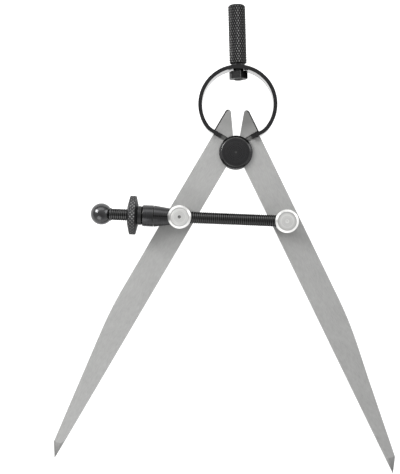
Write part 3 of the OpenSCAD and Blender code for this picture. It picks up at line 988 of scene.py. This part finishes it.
class DIVIDER_OT_thumb_nut(Operator):
    """Knurled thumb nut with its neck"""

    bl_idname = "divider.thumb_nut"
    bl_label = "Thumb nut"

    def execute(self, context):
        settings = context.scene.divider_turned
        # Knurl crests lighter, partly rubbed wear and partly painted highlight
        black = black_oxide_steel("black_oxide_steel_thumb_nut", SCREW, settings,
                                  settings.wheel_crest, settings.cut_rough, settings.wheel_rim,
                                  settings.black_light)
        worn = wear_and_highlight_edge("worn_black_oxide_thumb_nut", SCREW, settings)
        edge = settings.edge / MM
        depth = RIM_KNURL * settings.knurl_depth / MM
        around = settings.wheel_knurls
        rim = [(RIM_R, RIM_FROM + (RIM_TO - RIM_FROM) * k / RIM_ROWS, 0, depth, k)
               for k in range(RIM_ROWS + 1)]
        rings = eased(NECK, edge) + rim + eased(WHEEL_FACE, edge)[:-1]
        nut = finished("thumb_nut_knurled", turned(rings, SCREW, 2 * around, True),
                       [black, worn], KNURL_SMOOTH)
        tube = [(r, h, 0) for r, h in DRIVE_TUBE]
        tongues = finished("cutter", turned(tube, SCREW, closed=True), [])
        carved(tongues, block_cutter(SCREW, (-NUT_CLEAR, -DRIVE_HALF, 0),
                                     (NUT_CLEAR, DRIVE_HALF, NUT_END)), "INTERSECT")
        carved(nut, tongues, "UNION", KNURL_SMOOTH)
        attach(nut, "thumb_nut")
        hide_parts("thumb_nut")
        return {"FINISHED"}


class DIVIDER_OT_split_jaws(Operator):
    """Sleeve, split jaws and the wire ring inside them"""

    bl_idname = "divider.split_jaws"
    bl_label = "Split jaws"

    def execute(self, context):
        settings = context.scene.divider_turned
        black = black_oxide_steel("black_oxide_steel_jaws", SCREW, settings)
        worn = wear_and_highlight_edge("worn_black_oxide_jaws", SCREW, settings)
        edge = settings.edge / MM
        sleeve = finished("jaw_sleeve_black", turned(eased(SLEEVE, edge, True), SCREW, closed=True),
                          [black, worn])
        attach(sleeve, "nut_sleeve")
        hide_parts("jaw_sleeve")
        rings = eased(JAW_OUTSIDE + RING_GROOVE, edge, True)
        for sign, name in ((1, "upper_jaw"), (-1, "lower_jaw")):
            jaw = finished(name + "_black", turned(rings, SCREW, closed=True), [black, worn])
            low, high = sorted((SAW_HALF * sign, -NUT_CLEAR * sign))
            carved(jaw, block_cutter(SCREW, (-NUT_CLEAR, low, 0), (NUT_CLEAR, high, NUT_END)))
            carved(jaw, block_cutter(SCREW, (-NUT_CLEAR, -DRIVE_SLOT_HALF, DRIVE_SLOT_FROM),
                                     (NUT_CLEAR, DRIVE_SLOT_HALF, NUT_END)))
            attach(jaw, name)
            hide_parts(name)
        ring = frame["nodes"]["jaw_ring"]
        ring.data.materials.clear()
        ring.data.materials.append(bright_turned_steel("drawn_spring_wire", SCREW, settings))
        return {"FINISHED"}


class DIVIDER_OT_stage(Operator):
    """Pale floor, soft light and the camera"""

    bl_idname = "divider.stage"
    bl_label = "Stage"

    def floor(self, settings):
        """The floor touches the rear flange and the legs near their points.
        It is opal acrylic lit from below: white, and without a cast shadow."""
        bm = bmesh.new()
        bmesh.ops.create_grid(bm, x_segments=1, y_segments=1, size=FLOOR_HALF * MM)
        slope = LEG_BACK / ((LEG_REST - FLANGE_REST) * MM)
        for v in bm.verts:
            v.co.z = slope * (v.co.y - FLANGE_REST * MM) - FLOOR_GAP * MM
        material, tree, shader = shaded("opal_acrylic_light_table")
        here = add(tree, "ShaderNodeTexCoord").outputs["Object"]
        fibre = add(tree, "ShaderNodeTexNoise", {
            "Vector": here, "Scale": 1 / (0.6 * MM), "Detail": 3.0}).outputs[0]
        toward_tube = add(tree, "ShaderNodeVectorMath", {
            0: here, 1: TOWARD_TUBE}, operation="DOT_PRODUCT").outputs["Value"]
        glow = add(tree, "ShaderNodeMapRange", {
            "Value": toward_tube, "From Min": -GLOW_HALF * MM, "From Max": GLOW_HALF * MM,
            "To Min": settings.floor_glow, "To Max": settings.floor_far_glow}).outputs[0]
        bump = add(tree, "ShaderNodeBump", {
            "Strength": 0.05, "Distance": 0.05 * MM, "Height": fibre}).outputs[0]
        tree.links.new(bump, shader.inputs["Normal"])
        shader.inputs["Base Color"].default_value = settings.floor_colour
        shader.inputs["Emission Color"].default_value = settings.floor_light
        tree.links.new(glow, shader.inputs["Emission Strength"])
        shader.inputs["Roughness"].default_value = 0.9
        shader.inputs["Specular IOR Level"].default_value = 0.1
        finished("floor", bm, [material])

    def light(self, settings):
        """A sky with a bright belt and dim sides, and four softboxes."""
        scene = bpy.context.scene
        world = scene.world or bpy.data.worlds.new("studio")
        scene.world = world
        world.use_nodes = True
        tree = world.node_tree
        tree.nodes.clear()
        spot = add(tree, "ShaderNodeSeparateXYZ", {
            0: add(tree, "ShaderNodeTexCoord").outputs["Generated"]}).outputs
        belt = add(tree, "ShaderNodeValToRGB", {"Fac": spot["Z"]})
        for place in list(SKY_BELT)[1:-1]:
            belt.color_ramp.elements.new(place)
        for element, grey in zip(belt.color_ramp.elements, SKY_BELT.values()):
            element.color = (grey, grey, grey, 1)
        square = add(tree, "ShaderNodeMath", {
            0: spot["X"], 1: spot["X"]}, operation="MULTIPLY").outputs[0]
        sides = add(tree, "ShaderNodeMath", {
            0: square, 1: -settings.sky_sides * settings.sky, 2: settings.sky},
            operation="MULTIPLY_ADD").outputs[0]
        lengthwise = add(tree, "ShaderNodeMath", {
            0: spot["Z"], 1: (settings.sky_front + settings.sky_back) * settings.sky,
            2: -settings.sky_front * settings.sky}, operation="MULTIPLY_ADD").outputs[0]
        total = add(tree, "ShaderNodeMath", {
            0: spot["Y"], 1: lengthwise, 2: sides}, operation="MULTIPLY_ADD").outputs[0]
        sky = add(tree, "ShaderNodeBackground", {"Color": belt.outputs[0], "Strength": total})
        add(tree, "ShaderNodeOutputWorld", {"Surface": sky.outputs[0]})
        for side, (place, wide, high) in SOFTBOXES.items():
            lamp = bpy.data.lights.new("softbox_" + side, "AREA")
            lamp.energy = getattr(settings, side + "_box")
            lamp.shape = "RECTANGLE"
            lamp.size = wide
            lamp.size_y = high
            box = bpy.data.objects.new("softbox_" + side, lamp)
            box.location = place
            aim = SOFTBOX_AIM - Vector(place)
            box.rotation_euler = aim.to_track_quat("-Z", "Y").to_euler()
            scene.collection.objects.link(box)

    def camera(self):
        """Looks down, nearly square to the legs; the lens follows from the picture's height."""
        lens = bpy.data.cameras.new("camera")
        lens.sensor_fit = "VERTICAL"
        lens.sensor_height = SENSOR_HIGH
        lens.lens = SENSOR_HIGH * FOCUS_PIXELS / PICTURE_HIGH
        lens.clip_start = 10 * MM
        camera = bpy.data.objects.new("camera", lens)
        camera.location = CAMERA_AT * MM
        camera.rotation_euler = [math.radians(a) for a in CAMERA_TURN]
        bpy.context.scene.collection.objects.link(camera)
        bpy.context.scene.camera = camera

    def execute(self, context):
        settings = context.scene.divider_stage
        self.floor(settings)
        self.light(settings)
        self.camera()
        context.scene.view_settings.view_transform = "Standard"
        return {"FINISHED"}


class DIVIDER_PT_panel(Panel):
    """Lists the pieces and their settings"""

    bl_idname = "DIVIDER_PT_panel"
    bl_label = "Divider"
    bl_space_type = "VIEW_3D"
    bl_region_type = "UI"
    bl_category = "Divider"

    def draw(self, context):
        for operator in PIECES:
            self.layout.operator(operator.bl_idname)
        for group in GROUPS:
            settings = getattr(context.scene, group)
            column = self.layout.column()
            for key in settings.bl_rna.properties.keys():
                if key not in ("rna_type", "name"):
                    column.prop(settings, key)


PIECES = (DIVIDER_OT_legs, DIVIDER_OT_fulcrum, DIVIDER_OT_bow_spring, DIVIDER_OT_handle,
          DIVIDER_OT_posts, DIVIDER_OT_screw, DIVIDER_OT_thumb_nut, DIVIDER_OT_split_jaws,
          DIVIDER_OT_stage)
GROUPS = {"divider_legs": LegSettings, "divider_turned": TurnedSettings,
          "divider_stage": StageSettings}


def register():
    for group in GROUPS.values():
        bpy.utils.register_class(group)
    for name, group in GROUPS.items():
        setattr(bpy.types.Scene, name, PointerProperty(type=group))
    for operator in PIECES:
        bpy.utils.register_class(operator)
    bpy.utils.register_class(DIVIDER_PT_panel)


def unregister():
    bpy.utils.unregister_class(DIVIDER_PT_panel)
    for operator in reversed(PIECES):
        bpy.utils.unregister_class(operator)
    for name in GROUPS:
        delattr(bpy.types.Scene, name)
    for group in reversed(list(GROUPS.values())):
        bpy.utils.unregister_class(group)


def main():
    register()
    for operator in PIECES:
        group, name = operator.bl_idname.split(".")
        getattr(getattr(bpy.ops, group), name)()


if __name__ == "__main__":
    main()
